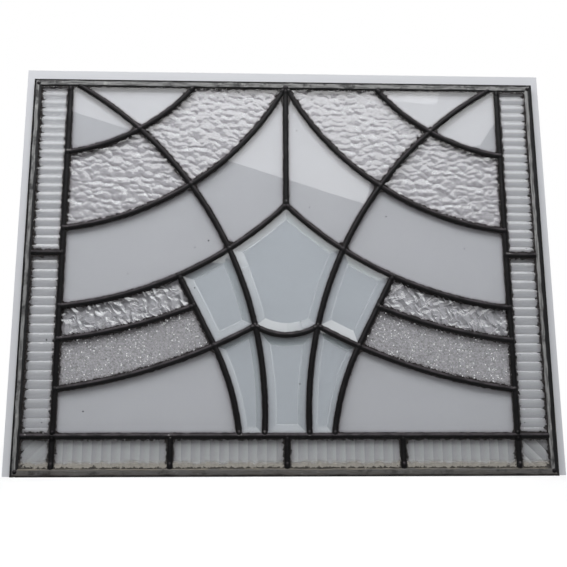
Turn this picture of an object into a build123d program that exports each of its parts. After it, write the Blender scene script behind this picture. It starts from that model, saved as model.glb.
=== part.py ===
from build123d import *
from math import ceil, degrees
import os

os.makedirs("parts", exist_ok=True)

# A leaded glass panel, upright. X runs across it, Y through its thickness with the front
# face towards -Y, and Z up. The origin is the middle of the bottom edge. The lead lines
# are drawn as (x, height) on the panel's own plane, for the right-hand half; the left
# half is its mirror image.

# Panel and borders, from the outside edge to the centre of the border lead
panel_width = 650.0
panel_height = 500.0
side_border = 47.0
bottom_border = 47.0

# Lead came: an H with crowned leaves, and a wider one round the outside
came_width = 6.6
came_heart = 1.4
came_channel = 3.8
leaf_thickness = 1.3
leaf_flat = 2.6
edge_came_width = 11.0
edge_came_heart = 1.6
edge_leaf_flat = 7.0
butt_gap = 0.05

# Glass
glass_thickness = 3.2
glass_gap = 0.4
plate_thickness = 5.0
bevel_edge = 3.0
bevel_width = 13.0
bevel_share = 0.35
reed_pitch = 11.3
reed_height = 1.0

# The sweeping leads: the height at which each leaves the side border lead, and how far
# it bows away from its chord
top_sweep_height = 401.0
top_sweep_reach = 117.0
top_sweep_bow = 17.5
upper_sweep_height = 301.0
upper_sweep_bow = 42.0
middle_sweep_height = 202.5
middle_sweep_bow = 26.0
apex_height = 333.0
band_sweep_height = 162.0
band_sweep_end = 203.5
band_sweep_bow = 5.7
lower_sweep_height = 102.0
lower_sweep_bow = 11.7

# The fanning ribs, as distances from the middle of the panel, and the bowl between them
long_rib_inset = 6.0
long_rib_foot = 27.0
long_rib_bow = 72.0
short_rib_head = 133.0
short_rib_bend = 88.5
short_rib_foot = 57.0
bowl_height = 179.0
bowl_bow = 11.0

# Short leads that divide the border
side_divider_height = 269.5
bottom_divider_reach = 139.0

# Solder joints and the old putty in the outer channel
solder_radius = 5.0
solder_height = 0.6
solder_sides = 6
putty_gap = 0.1

half_width = panel_width / 2
border_x = half_width - side_border
edge_line = edge_came_width / 2
edge_x = half_width - edge_line
top_z = panel_height - edge_line
leaf_face = came_channel / 2 + leaf_thickness
panel_face = Plane.XZ


def straight(start, end):
    return Line(start, end, mode=Mode.PRIVATE).edge()


def bowed(start, end, bow):
    return SagittaArc(start, end, bow, mode=Mode.PRIVATE).edge()


def crossing(first, second):
    return first.find_intersection_points(second)[0]


def upright_at(x):
    return straight((x, 0), (x, panel_height))


def level_at(height):
    return straight((0, height), (panel_width, height))


# Centre lines of the right-hand half
edge_left = straight((-edge_x, 0), (-edge_x, panel_height))
edge_right = straight((edge_x, 0), (edge_x, panel_height))
edge_top = straight((-edge_x, top_z), (edge_x, top_z))
edge_bottom = straight((-edge_x, edge_line), (edge_x, edge_line))
border_foot = straight((-edge_x, bottom_border), (edge_x, bottom_border))
border_side = straight((border_x, bottom_border), (border_x, top_z))
centre_lead = straight((0, apex_height), (0, top_z))

long_rib = bowed((border_x - long_rib_inset, top_z), (long_rib_foot, bottom_border), -long_rib_bow)
top_sweep = bowed((border_x, top_sweep_height), (top_sweep_reach, top_z), top_sweep_bow)
upper_sweep = bowed((border_x, upper_sweep_height), (0, top_z), upper_sweep_bow)
middle_sweep = bowed((border_x, middle_sweep_height), (0, apex_height), middle_sweep_bow)
bowl_end = crossing(long_rib, level_at(bowl_height))
lower_sweep = bowed((border_x, lower_sweep_height), bowl_end, lower_sweep_bow)
bowl = bowed((-bowl_end.X, bowl_end.Y), bowl_end, -bowl_bow)

rib_head = crossing(middle_sweep, upright_at(short_rib_head))
rib_bend = crossing(lower_sweep, upright_at(short_rib_bend))
rib_start = straight(rib_head, rib_bend)
rib_sweep = TangentArc(
    rib_bend, (short_rib_foot, bottom_border), tangent=rib_start % 1, mode=Mode.PRIVATE
).edge()
band_end = crossing(rib_start, level_at(band_sweep_end))
band_sweep = bowed((border_x, band_sweep_height), band_end, band_sweep_bow)

side_divider = straight((border_x, side_divider_height), (edge_x, side_divider_height))
divider_reaches = [-border_x, -bottom_divider_reach, 0, bottom_divider_reach, border_x]
bottom_dividers = [straight((x, edge_line), (x, bottom_border)) for x in divider_reaches]


def mirrored(edges):
    return [edge.mirror(Plane.YZ) for edge in edges]


right_leads = [
    border_side, long_rib, top_sweep, upper_sweep, middle_sweep, lower_sweep,
    rib_start, rib_sweep, band_sweep, side_divider,
]
thin_leads = right_leads + mirrored(right_leads) + [centre_lead, bowl, border_foot] + bottom_dividers
edge_leads = [edge_left, edge_right, edge_top, edge_bottom]


# Carries a profile along a line of the drawing: a straight run is extruded, and a swept
# run is revolved about its own centre. The profile's +Y faces the front.
def carried(profile, edge):
    run = panel_face.from_local_coords(edge)
    across = (run % 0).cross(Vector(0, 1, 0))
    with BuildPart() as bar:
        with BuildSketch(Plane(run @ 0, x_dir=across, z_dir=run % 0)):
            add(profile)
        if run.geom_type == GeomType.LINE:
            extrude(amount=run.length)
        else:
            spoke = (run @ 0) - run.arc_center
            hub = Axis(run.arc_center, spoke.cross(run % 0))
            revolve(axis=hub, revolution_arc=degrees(run.length / run.radius))
    return bar.part


def came_along(edges, width=came_width, heart=came_heart, flat=leaf_flat):
    with BuildSketch() as section:
        Rectangle(heart, came_channel)
        with BuildLine():
            inside = came_channel / 2
            Polyline((0, inside), (width / 2, inside), (flat / 2, leaf_face), (0, leaf_face), close=True)
        make_face()
        mirror(about=Plane.XZ)
        mirror(about=Plane.YZ)
    with BuildPart() as came:
        for edge in edges:
            add(carried(section.sketch, edge))
    return came.part


# The space that a lead takes up, which is cut from every lead that butts against it
def room_for(edges, width=came_width):
    with BuildPart() as room:
        with BuildSketch(panel_face):
            for edge in edges:
                trace([edge], width + 2 * butt_gap)
        extrude(amount=leaf_face + leaf_thickness, both=True)
    return room.part


finished = {}


def keep(name, part):
    part.label = name
    finished[name] = part


def keep_pair(name, part):
    keep(f"{name}_right", part)
    with BuildPart() as left:
        mirror(part, about=Plane.YZ)
    keep(f"{name}_left", left.part)


# A piece and its mirror image, which share a node
def keep_both(name, part):
    with BuildPart() as both:
        add(part)
        mirror(about=Plane.YZ)
    keep(name, both.part)


# Outer cames: the sides run the full height and the top and bottom butt between them
edge_size = {"width": edge_came_width, "heart": edge_came_heart, "flat": edge_leaf_flat}
side_room = room_for([edge_left, edge_right], edge_came_width)
edge_room = room_for(edge_leads, edge_came_width)

with BuildPart() as edge_came_side:
    add(came_along([edge_right], **edge_size))
keep_pair("edge_came", edge_came_side.part)

for name, edge in (("edge_came_top", edge_top), ("edge_came_bottom", edge_bottom)):
    with BuildPart() as edge_came:
        add(came_along([edge], **edge_size))
        add(side_room, mode=Mode.SUBTRACT)
    keep(name, edge_came.part)

# Border leads: the lower one runs from side to side, the upright ones stand on it
foot_room = room_for([border_foot])
border_room = room_for([border_side])

with BuildPart() as border_came_bottom:
    add(came_along([border_foot]))
    add(side_room, mode=Mode.SUBTRACT)
keep("border_came_bottom", border_came_bottom.part)

with BuildPart() as border_came:
    add(came_along([border_side]))
    add([edge_room, foot_room], mode=Mode.SUBTRACT)
keep_pair("border_came", border_came.part)

with BuildPart() as side_divider_came:
    add(came_along([side_divider]))
    add([edge_room, border_room], mode=Mode.SUBTRACT)
keep_both("side_divider_cames", side_divider_came.part)

with BuildPart() as bottom_divider_cames:
    add(came_along(bottom_dividers))
    add([edge_room, foot_room], mode=Mode.SUBTRACT)
keep("bottom_divider_cames", bottom_divider_cames.part)

# Ribs: the long ones run unbroken from the top to the foot, the short ones hang from
# the middle sweep
long_rib_room = room_for([long_rib])
middle_room = room_for([middle_sweep])
short_rib_room = room_for([rib_start, rib_sweep])

with BuildPart() as long_rib_came:
    add(came_along([long_rib]))
    add([edge_room, border_room, foot_room], mode=Mode.SUBTRACT)
keep_pair("long_rib_came", long_rib_came.part)

with BuildPart() as short_rib_came:
    add(came_along([rib_start, rib_sweep]))
    add([middle_room, foot_room], mode=Mode.SUBTRACT)
keep_both("short_rib_cames", short_rib_came.part)

# Sweeps, each cut where a rib or an upright lead passes through it
centre_room = room_for([centre_lead])

with BuildPart() as centre_came:
    add(came_along([centre_lead]))
    add([edge_room, middle_room, mirror(middle_room, about=Plane.YZ, mode=Mode.PRIVATE)], mode=Mode.SUBTRACT)
keep("centre_came", centre_came.part)

sweeps = {
    "top_sweep_cames": (top_sweep, [border_room, edge_room, long_rib_room]),
    "upper_sweep_cames": (upper_sweep, [border_room, edge_room, long_rib_room, centre_room]),
    "middle_sweep_cames": (middle_sweep, [border_room, long_rib_room]),
    "band_sweep_cames": (band_sweep, [border_room, short_rib_room]),
    "lower_sweep_cames": (lower_sweep, [border_room, short_rib_room, long_rib_room]),
}
for name, (edge, rooms) in sweeps.items():
    with BuildPart() as sweep_came:
        add(came_along([edge]))
        add(rooms, mode=Mode.SUBTRACT)
        split(bisect_by=Plane.YZ.offset(butt_gap))
    keep_both(name, sweep_came.part)

with BuildPart() as bowl_came:
    add(came_along([bowl]))
    add([long_rib_room, mirror(long_rib_room, about=Plane.YZ, mode=Mode.PRIVATE)], mode=Mode.SUBTRACT)
keep("bowl_came", bowl_came.part)

# Glass: the openings between the hearts of the leads, less the clearance all round
with BuildSketch() as openings:
    with Locations((0, panel_height / 2)):
        Rectangle(panel_width, panel_height)
    for edge in edge_leads:
        trace([edge], edge_came_heart + 2 * glass_gap, mode=Mode.SUBTRACT)
    for edge in thin_leads:
        trace([edge], came_heart + 2 * glass_gap, mode=Mode.SUBTRACT)


def opening_at(*corners):
    middle = sum((Vector(*corner) for corner in corners), Vector()) / len(corners)
    return openings.faces().sort_by_distance(middle)[0]


def sheet_pane(opening):
    with BuildPart() as pane:
        with BuildSketch(panel_face):
            add(opening)
        extrude(amount=glass_thickness / 2, both=True)
    return pane.part


# Plate glass stands proud of the leads at the front, and each of its sides is ground to
# a bevel. A narrow pane has a bevel that leaves some of its shortest side flat.
def bevelled_pane(opening):
    sides = opening.edges()
    bevel = min(bevel_width, bevel_share * min(side.length for side in sides))
    front = plate_thickness - glass_thickness / 2
    edge_front = bevel_edge - glass_thickness / 2
    with BuildPart() as pane:
        with BuildSketch(panel_face.offset(-glass_thickness / 2)):
            add(opening)
        extrude(amount=plate_thickness)
        for side in sides:
            inward = (opening.center() - side @ 0.5).dot(Vector(0, 0, 1).cross(side % 0.5))
            with BuildSketch() as grind:
                with BuildLine():
                    Polyline(
                        (0, edge_front), (bevel, front), (bevel, front + bevel_edge),
                        (-bevel_edge, front + bevel_edge), (-bevel_edge, edge_front), close=True,
                    )
                make_face()
                if inward < 0:
                    mirror(about=Plane.YZ, mode=Mode.REPLACE)
            add(carried(grind.sketch, side), mode=Mode.SUBTRACT)
    return pane.part


# Reeded glass: a row of rounded ribs on the front, rolled along one direction
def reeded_pane(opening, along):
    box = opening.bounding_box()
    reach = box.diagonal / 2 + reed_pitch
    reeds = ceil(reach / reed_pitch)
    middle = Vector(box.center().X, 0, box.center().Y)
    roll = Plane(middle, x_dir=Vector(0, -1, 0).cross(Vector(along)), z_dir=along)
    valley = glass_thickness / 2 - reed_height
    with BuildPart() as pane:
        with BuildSketch(roll):
            with BuildLine():
                for reed in range(-reeds, reeds):
                    SagittaArc((reed * reed_pitch, valley), ((reed + 1) * reed_pitch, valley), reed_height)
                end = reeds * reed_pitch
                back = -glass_thickness / 2
                Polyline((end, valley), (end, back), (-end, back), (-end, valley))
            make_face()
        extrude(amount=reach, both=True)
        with BuildSketch(panel_face):
            add(opening)
        extrude(amount=glass_thickness, both=True, mode=Mode.INTERSECT)
    return pane.part


top_cross = crossing(top_sweep, long_rib)
upper_cross = crossing(upper_sweep, long_rib)
middle_cross = crossing(middle_sweep, long_rib)
top_centre = (0, top_z)
apex = (0, apex_height)

# Panes of the right-hand half, named by where they lie, with the corners that bound them
panes = {
    "top_corner_panes": (top_sweep @ 1, top_cross, long_rib @ 0),
    "side_corner_panes": (top_cross, top_sweep @ 0, border_side @ 1, long_rib @ 0),
    "inner_hammered_panes": (top_centre, top_sweep @ 1, top_cross, upper_cross),
    "outer_hammered_panes": (top_cross, top_sweep @ 0, upper_sweep @ 0, upper_cross),
    "wing_panes": (upper_cross, upper_sweep @ 0, middle_sweep @ 0, middle_cross),
    "kite_panes": (top_centre, upper_cross, middle_cross, apex),
    "leaf_pattern_panes": (rib_head, middle_sweep @ 0, band_sweep @ 0, band_end),
    "stippled_panes": (band_end, band_sweep @ 0, lower_sweep @ 0, rib_bend),
    "foot_panes": (rib_bend, lower_sweep @ 0, border_side @ 0, rib_sweep @ 1),
}
for name, corners in panes.items():
    keep_both(name, sheet_pane(opening_at(*corners)))

side_opening = opening_at(middle_cross, rib_head, rib_bend, bowl_end)
sliver_opening = opening_at(bowl_end, rib_bend, rib_sweep @ 1, long_rib @ 1)
keep_both("bevelled_side_panes", bevelled_pane(side_opening))
keep_both("bevelled_sliver_panes", bevelled_pane(sliver_opening))
keep("shield_pane", bevelled_pane(opening_at(apex, bowl @ 0, bowl @ 1)))
keep("bevelled_foot_pane", bevelled_pane(opening_at(bowl @ 0.5, (0, bottom_border))))

# Reeded border: level reeds up the sides, upright ones along the bottom, and slanting
# ones in the two corner squares
strip_x = (border_x + edge_x) / 2
row_z = (edge_line + bottom_border) / 2
level, upright = (1, 0, 0), (0, 0, 1)
strip_heights = ((bottom_border + side_divider_height) / 2, (side_divider_height + top_z) / 2)
with BuildPart() as side_strip_panes:
    for height in strip_heights:
        add(reeded_pane(opening_at((strip_x, height)), level))
keep_both("side_strip_panes", side_strip_panes.part)

with BuildPart() as bottom_row_panes:
    for reach in (bottom_divider_reach / 2, (bottom_divider_reach + border_x) / 2):
        add(reeded_pane(opening_at((reach, row_z)), upright))
keep_both("bottom_row_panes", bottom_row_panes.part)

with BuildPart() as corner_panes:
    add(reeded_pane(opening_at((strip_x, row_z)), (1, 0, -1)))
keep_both("corner_panes", corner_panes.part)

# Solder over every joint, front and back
side_joints = [
    lead @ 0 for lead in (top_sweep, upper_sweep, middle_sweep, band_sweep, lower_sweep, side_divider)
]
rib_joints = [top_cross, upper_cross, middle_cross, bowl_end, rib_head, rib_bend, band_end]
foot_joints = [long_rib @ 1, rib_sweep @ 1, border_side @ 0, border_foot @ 1]
edge_joints = [border_side @ 1, top_sweep @ 1, side_divider @ 1, edge_bottom @ 1, edge_top @ 1]
row_joints = [end for lead in bottom_dividers[3:] for end in (lead @ 0, lead @ 1)][:3]
right_joints = side_joints + rib_joints + foot_joints + edge_joints + row_joints
middle_joints = [Vector(*apex), Vector(*top_centre), bottom_dividers[2] @ 0, bottom_dividers[2] @ 1]
left_joints = [Vector(-point.X, point.Y) for point in right_joints]

for side, name in ((1, "solder_joints_front"), (-1, "solder_joints_back")):
    with BuildPart() as solder:
        with BuildSketch(panel_face.offset(side * leaf_face)):
            with Locations(*[(point.X, point.Y) for point in right_joints + left_joints + middle_joints]):
                RegularPolygon(solder_radius, solder_sides)
        extrude(amount=side * solder_height)
    keep(name, solder.part)

# Hardened putty that fills the outer channel of the edge cames
channel_depth = (edge_came_width - edge_came_heart) / 2
with BuildPart() as edge_putty:
    with BuildSketch(panel_face):
        with Locations((0, panel_height / 2)):
            Rectangle(panel_width, panel_height)
            Rectangle(panel_width - 2 * channel_depth, panel_height - 2 * channel_depth, mode=Mode.SUBTRACT)
    extrude(amount=came_channel / 2, both=True)
    for room in (edge_left, edge_right):
        with BuildSketch(panel_face):
            trace([room], edge_came_heart + 2 * putty_gap)
        extrude(amount=came_channel, both=True, mode=Mode.SUBTRACT)
keep("edge_putty", edge_putty.part)

for name, part in finished.items():
    export_step(part, f"parts/{name}.step")
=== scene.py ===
import math

import bpy
import numpy as np
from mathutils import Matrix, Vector


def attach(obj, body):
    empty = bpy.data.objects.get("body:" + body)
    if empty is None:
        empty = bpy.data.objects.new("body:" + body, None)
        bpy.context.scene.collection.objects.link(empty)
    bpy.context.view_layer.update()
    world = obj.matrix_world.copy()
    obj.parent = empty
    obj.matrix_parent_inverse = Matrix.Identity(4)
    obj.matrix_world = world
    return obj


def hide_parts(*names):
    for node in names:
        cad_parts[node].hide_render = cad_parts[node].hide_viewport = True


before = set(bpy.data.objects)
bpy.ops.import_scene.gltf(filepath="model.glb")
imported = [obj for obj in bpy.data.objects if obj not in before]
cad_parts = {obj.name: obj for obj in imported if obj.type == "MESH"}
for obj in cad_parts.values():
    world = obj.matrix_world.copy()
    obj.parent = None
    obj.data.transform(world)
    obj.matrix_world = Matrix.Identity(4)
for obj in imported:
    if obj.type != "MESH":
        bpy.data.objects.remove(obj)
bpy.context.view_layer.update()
mm = 0.001
scene = bpy.context.scene

# The drawing of the leads, in millimetres from the middle of the bottom edge
layout = {
    "width": 650.0,
    "height": 500.0,
    "border": 47.0,
    "edgeWidth": 11.0,
    "cameWidth": 6.6,
    "topSweep": {"height": 401.0, "reach": 117.0, "bow": 17.5},
    "upperSweep": {"height": 301.0, "bow": 42.0},
    "middleSweep": {"height": 202.5, "bow": 26.0, "apex": 333.0},
    "bandSweep": {"height": 162.0, "end": 203.5, "bow": 5.7},
    "lowerSweep": {"height": 102.0, "bow": 11.7},
    "longRib": {"inset": 6.0, "foot": 27.0, "bow": 72.0},
    "shortRib": {"head": 133.0, "bend": 88.5, "foot": 57.0},
    "bowl": {"height": 179.0, "bow": 11.0},
    "sideDivider": 269.5,
    "bottomDivider": 139.0,
    "step": 2.5,
}


# Helpers for the lead lines
def turned(vector, angle):
    return np.array([
        vector[0] * np.cos(angle) - vector[1] * np.sin(angle),
        vector[0] * np.sin(angle) + vector[1] * np.cos(angle),
    ]).T


def straightLine(start, end):
    start, end = np.array(start, float), np.array(end, float)
    count = max(2, int(np.linalg.norm(end - start) / layout["step"]) + 1)
    return start + np.linspace(0, 1, count)[:, None] * (end - start)


def arcLine(centre, start, sweep):
    spoke = start - centre
    count = max(3, int(abs(sweep) * np.linalg.norm(spoke) / layout["step"]) + 1)
    return centre + turned(spoke, np.linspace(0, sweep, count))


def bowedLine(start, end, bow):  # a positive bow swells to the left of the way it runs
    start, end = np.array(start, float), np.array(end, float)
    half = np.linalg.norm(end - start) / 2
    left = turned(end - start, math.pi / 2) / (2 * half)
    radius = (half ** 2 + bow ** 2) / (2 * abs(bow))
    centre = (start + end) / 2 + left * (bow - math.copysign(radius, bow))
    return arcLine(centre, start, -math.copysign(2 * math.asin(half / radius), bow))


def tangentLine(line, end):  # an arc that goes on smoothly from the end of a line
    start = line[-1]
    chord = np.array(end, float) - start
    left = turned(line[-1] - line[-2], math.pi / 2)
    left /= np.linalg.norm(left)
    centre = start + left * chord.dot(chord) / (2 * left.dot(chord))
    first, last = start - centre, start + chord - centre
    sweep = math.atan2(first[0] * last[1] - first[1] * last[0], first.dot(last))
    return arcLine(centre, start, sweep)


def pointAtHeight(line, height):
    ordered = line[np.argsort(line[:, 1])]
    return np.array([np.interp(height, ordered[:, 1], ordered[:, 0]), height])


def pointAtReach(line, reach):
    ordered = line[np.argsort(line[:, 0])]
    return np.array([reach, np.interp(reach, ordered[:, 0], ordered[:, 1])])


def crossing(first, second):
    gaps = np.linalg.norm(first[:, None] - second[None], axis=2)
    near, far = np.unravel_index(gaps.argmin(), gaps.shape)
    a, b = first[max(near - 1, 0)], first[min(near + 1, len(first) - 1)]
    c, d = second[max(far - 1, 0)], second[min(far + 1, len(second) - 1)]
    ways = np.array([b - a, c - d]).T
    if abs(np.linalg.det(ways)) < 1e-6:  # one line goes on from the other
        return first[near]
    return a + np.linalg.solve(ways, c - a)[0] * (b - a)


half = layout["width"] / 2
borderX = half - layout["border"]
edgeLine = layout["edgeWidth"] / 2
edgeX = half - edgeLine
topZ = layout["height"] - edgeLine
footZ = layout["border"]

leads = {
    "edgeRight": straightLine((edgeX, 0), (edgeX, layout["height"])),
    "edgeTop": straightLine((-edgeX, topZ), (edgeX, topZ)),
    "edgeBottom": straightLine((-edgeX, edgeLine), (edgeX, edgeLine)),
    "borderFoot": straightLine((-edgeX, footZ), (edgeX, footZ)),
    "borderSide": straightLine((borderX, footZ), (borderX, topZ)),
    "centre": straightLine((0, layout["middleSweep"]["apex"]), (0, topZ)),
    "longRib": bowedLine((borderX - layout["longRib"]["inset"], topZ), (layout["longRib"]["foot"], footZ),
                         -layout["longRib"]["bow"]),
    "topSweep": bowedLine((borderX, layout["topSweep"]["height"]), (layout["topSweep"]["reach"], topZ),
                          layout["topSweep"]["bow"]),
    "upperSweep": bowedLine((borderX, layout["upperSweep"]["height"]), (0, topZ), layout["upperSweep"]["bow"]),
    "middleSweep": bowedLine((borderX, layout["middleSweep"]["height"]), (0, layout["middleSweep"]["apex"]),
                             layout["middleSweep"]["bow"]),
    "sideDivider": straightLine((borderX, layout["sideDivider"]), (edgeX, layout["sideDivider"])),
    "cornerDivider": straightLine((borderX, edgeLine), (borderX, footZ)),
    "rowDivider": straightLine((layout["bottomDivider"], edgeLine), (layout["bottomDivider"], footZ)),
    "middleDivider": straightLine((0, edgeLine), (0, footZ)),
}
bowlEnd = pointAtHeight(leads["longRib"], layout["bowl"]["height"])
leads["bowl"] = bowedLine((-bowlEnd[0], bowlEnd[1]), bowlEnd, -layout["bowl"]["bow"])
leads["lowerSweep"] = bowedLine((borderX, layout["lowerSweep"]["height"]), bowlEnd, layout["lowerSweep"]["bow"])
ribHead = pointAtReach(leads["middleSweep"], layout["shortRib"]["head"])
ribBend = pointAtReach(leads["lowerSweep"], layout["shortRib"]["bend"])
ribStart = straightLine(ribHead, ribBend)
leads["shortRib"] = np.vstack([ribStart, tangentLine(ribStart, (layout["shortRib"]["foot"], footZ))[1:]])
bandEnd = pointAtHeight(ribStart, layout["bandSweep"]["end"])
leads["bandSweep"] = bowedLine((borderX, layout["bandSweep"]["height"]), bandEnd, layout["bandSweep"]["bow"])
middleNames = ("edgeTop", "edgeBottom", "borderFoot", "centre", "bowl", "middleDivider")
for name in [name for name in leads if name not in middleNames]:
    leads[name + "Left"] = leads[name] * (-1, 1)
print("lead lines:", len(leads))


# Helpers for node trees and meshes
def addNode(tree, kind, inputs=None, **settings):
    made = tree.nodes.new(kind)
    for key, value in settings.items():
        setattr(made, key, value)
    for key, value in (inputs or {}).items():
        if isinstance(value, bpy.types.NodeSocket):
            tree.links.new(value, made.inputs[key])
        else:
            made.inputs[key].default_value = value
    return made


def mathNode(tree, operation, first, second=0.5, third=0.5):
    return addNode(tree, "ShaderNodeMath", {0: first, 1: second, 2: third}, operation=operation).outputs[0]


def times(tree, first, second):
    return mathNode(tree, "MULTIPLY", first, second)


def plus(tree, first, second):
    return mathNode(tree, "ADD", first, second)


def minus(tree, first, second):
    return mathNode(tree, "SUBTRACT", first, second)


def timesPlus(tree, first, second, third):
    return mathNode(tree, "MULTIPLY_ADD", first, second, third)


def vectorMath(tree, operation, first, second):
    return addNode(tree, "ShaderNodeVectorMath", {0: first, 1: second}, operation=operation).outputs[0]


def dotOf(tree, first, second):
    return addNode(tree, "ShaderNodeVectorMath", {0: first, 1: second},
                   operation="DOT_PRODUCT").outputs["Value"]


def scaled(tree, vector, amount):
    return addNode(tree, "ShaderNodeVectorMath", {0: vector, "Scale": amount}, operation="SCALE").outputs[0]


def partsOf(tree, vector):
    return addNode(tree, "ShaderNodeSeparateXYZ", {0: vector}).outputs


def surfaceNormal(tree):
    return addNode(tree, "ShaderNodeNewGeometry").outputs["Normal"]


def attribute(tree, name):
    return addNode(tree, "ShaderNodeAttribute", attribute_name=name).outputs["Fac"]


def named(tree, name):
    return addNode(tree, "GeometryNodeInputNamedAttribute", {"Name": name}, data_type="FLOAT").outputs[0]


def moved(tree, geometry, offset):
    return addNode(tree, "GeometryNodeSetPosition", {"Geometry": geometry, "Offset": offset}).outputs[0]


def mixedShader(tree, factor, first, second):
    return addNode(tree, "ShaderNodeMixShader", {0: factor, 1: first, 2: second}).outputs[0]


def seededNoise(tree, place, seed, scale, detail):
    return addNode(tree, "ShaderNodeTexNoise",
                   {"Vector": place, "W": seed, "Scale": scale, "Detail": detail},
                   noise_dimensions="4D").outputs


def rampBetween(tree, value, low, high, start=0.0, end=1.0, smooth=True):
    spread = addNode(tree, "ShaderNodeMapRange",
                     {"Value": value, "From Min": low, "From Max": high, "To Min": start, "To Max": end})
    spread.interpolation_type = "SMOOTHSTEP" if smooth else "LINEAR"
    return spread.outputs["Result"]


def geometryTree(name, sockets):
    tree = bpy.data.node_groups.new(name, "GeometryNodeTree")
    tree.interface.new_socket("Geometry", in_out="INPUT", socket_type="NodeSocketGeometry")
    for label, kind in sockets:
        tree.interface.new_socket(label, in_out="INPUT", socket_type="NodeSocket" + kind)
    tree.interface.new_socket("Geometry", in_out="OUTPUT", socket_type="NodeSocketGeometry")
    return tree, tree.nodes.new("NodeGroupInput"), tree.nodes.new("NodeGroupOutput")


def finishTree(tree, output, geometry, material):
    whole = addNode(tree, "GeometryNodeRealizeInstances", {"Geometry": geometry}).outputs[0]
    whole = addNode(tree, "GeometryNodeSetMaterial", {"Geometry": whole, "Material": material}).outputs[0]
    tree.links.new(whole, output.inputs[0])


def plainMesh(name, points, edges=(), faces=(), values=None):
    mesh = bpy.data.meshes.new(name)
    mesh.from_pydata([tuple(p) for p in points], [tuple(e) for e in edges], [tuple(f) for f in faces])
    for label, data in (values or {}).items():
        mesh.attributes.new(label, "FLOAT", "POINT").data.foreach_set("value", np.asarray(data, np.float32))
    mesh.update()
    return mesh


def showObject(name, mesh):
    made = bpy.data.objects.new(name, mesh)
    scene.collection.objects.link(made)
    return made


def turnOutwards(mesh):  # a closed mesh whose volume comes out negative is inside out
    points = np.empty(len(mesh.vertices) * 3)
    mesh.vertices.foreach_get("co", points)
    points = points.reshape(-1, 3)
    mesh.calc_loop_triangles()
    corners = np.empty(len(mesh.loop_triangles) * 3, int)
    mesh.loop_triangles.foreach_get("vertices", corners)
    a, b, c = points[corners.reshape(-1, 3)].transpose(1, 0, 2)
    if np.einsum("ij,ij->i", a, np.cross(b, c)).sum() < 0:
        mesh.flip_normals()


# Runs a tree on a mesh and gives back the result as a plain mesh object
def grown(name, mesh, tree, values, crease=38):
    source = showObject(name + "Source", mesh)
    modifier = source.modifiers.new(tree.name, "NODES")
    modifier.node_group = tree
    for item in tree.interface.items_tree:
        if item.in_out == "INPUT" and item.name in values:
            modifier[item.identifier] = values[item.name]
    graph = bpy.context.evaluated_depsgraph_get()
    result = bpy.data.meshes.new_from_object(source.evaluated_get(graph), preserve_all_data_layers=True,
                                             depsgraph=graph)
    source.modifiers.remove(modifier)
    bpy.data.objects.remove(source)
    turnOutwards(result)
    result.shade_smooth()
    result.set_sharp_from_angle(angle=math.radians(crease))
    return showObject(name, result)


def settle(piece, slotName, *nodes):
    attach(piece, "root")
    if nodes:
        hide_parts(*nodes)


def newMaterial(name):
    material = bpy.data.materials.new(name)
    material.use_nodes = True
    tree = material.node_tree
    tree.nodes.clear()
    return material, tree, tree.nodes.new("ShaderNodeOutputMaterial")


def objectPlace(tree):
    return addNode(tree, "ShaderNodeTexCoord").outputs["Object"]


def noiseNode(tree, place, scale, detail=3.0, rough=0.55, distort=0.0):
    return addNode(tree, "ShaderNodeTexNoise",
                   {"Vector": place, "Scale": scale, "Detail": detail, "Roughness": rough,
                    "Distortion": distort}).outputs["Fac"]


def mixedColour(tree, factor, first, second, blend="MIX"):
    made = tree.nodes.new("ShaderNodeMix")
    made.data_type, made.blend_type = "RGBA", blend
    for socket, value in ((made.inputs[0], factor), (made.inputs[6], first), (made.inputs[7], second)):
        if isinstance(value, bpy.types.NodeSocket):
            tree.links.new(value, socket)
        else:
            socket.default_value = value if isinstance(value, float) else (*value, 1.0)
    return made.outputs[2]


def bumped(tree, height, strength, distance):
    return addNode(tree, "ShaderNodeBump",
                   {"Height": height, "Strength": strength, "Distance": distance}).outputs["Normal"]


leadLook = {
    "dark": (0.0042, 0.0038, 0.0045),
    "wornAndLit": (0.064, 0.055, 0.062),
    "chalk": (0.12, 0.118, 0.118),
    "roughness": 0.46,
    "gloss": 0.22,
    "lit": (0.0, 0.86, 0.52),
}
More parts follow.
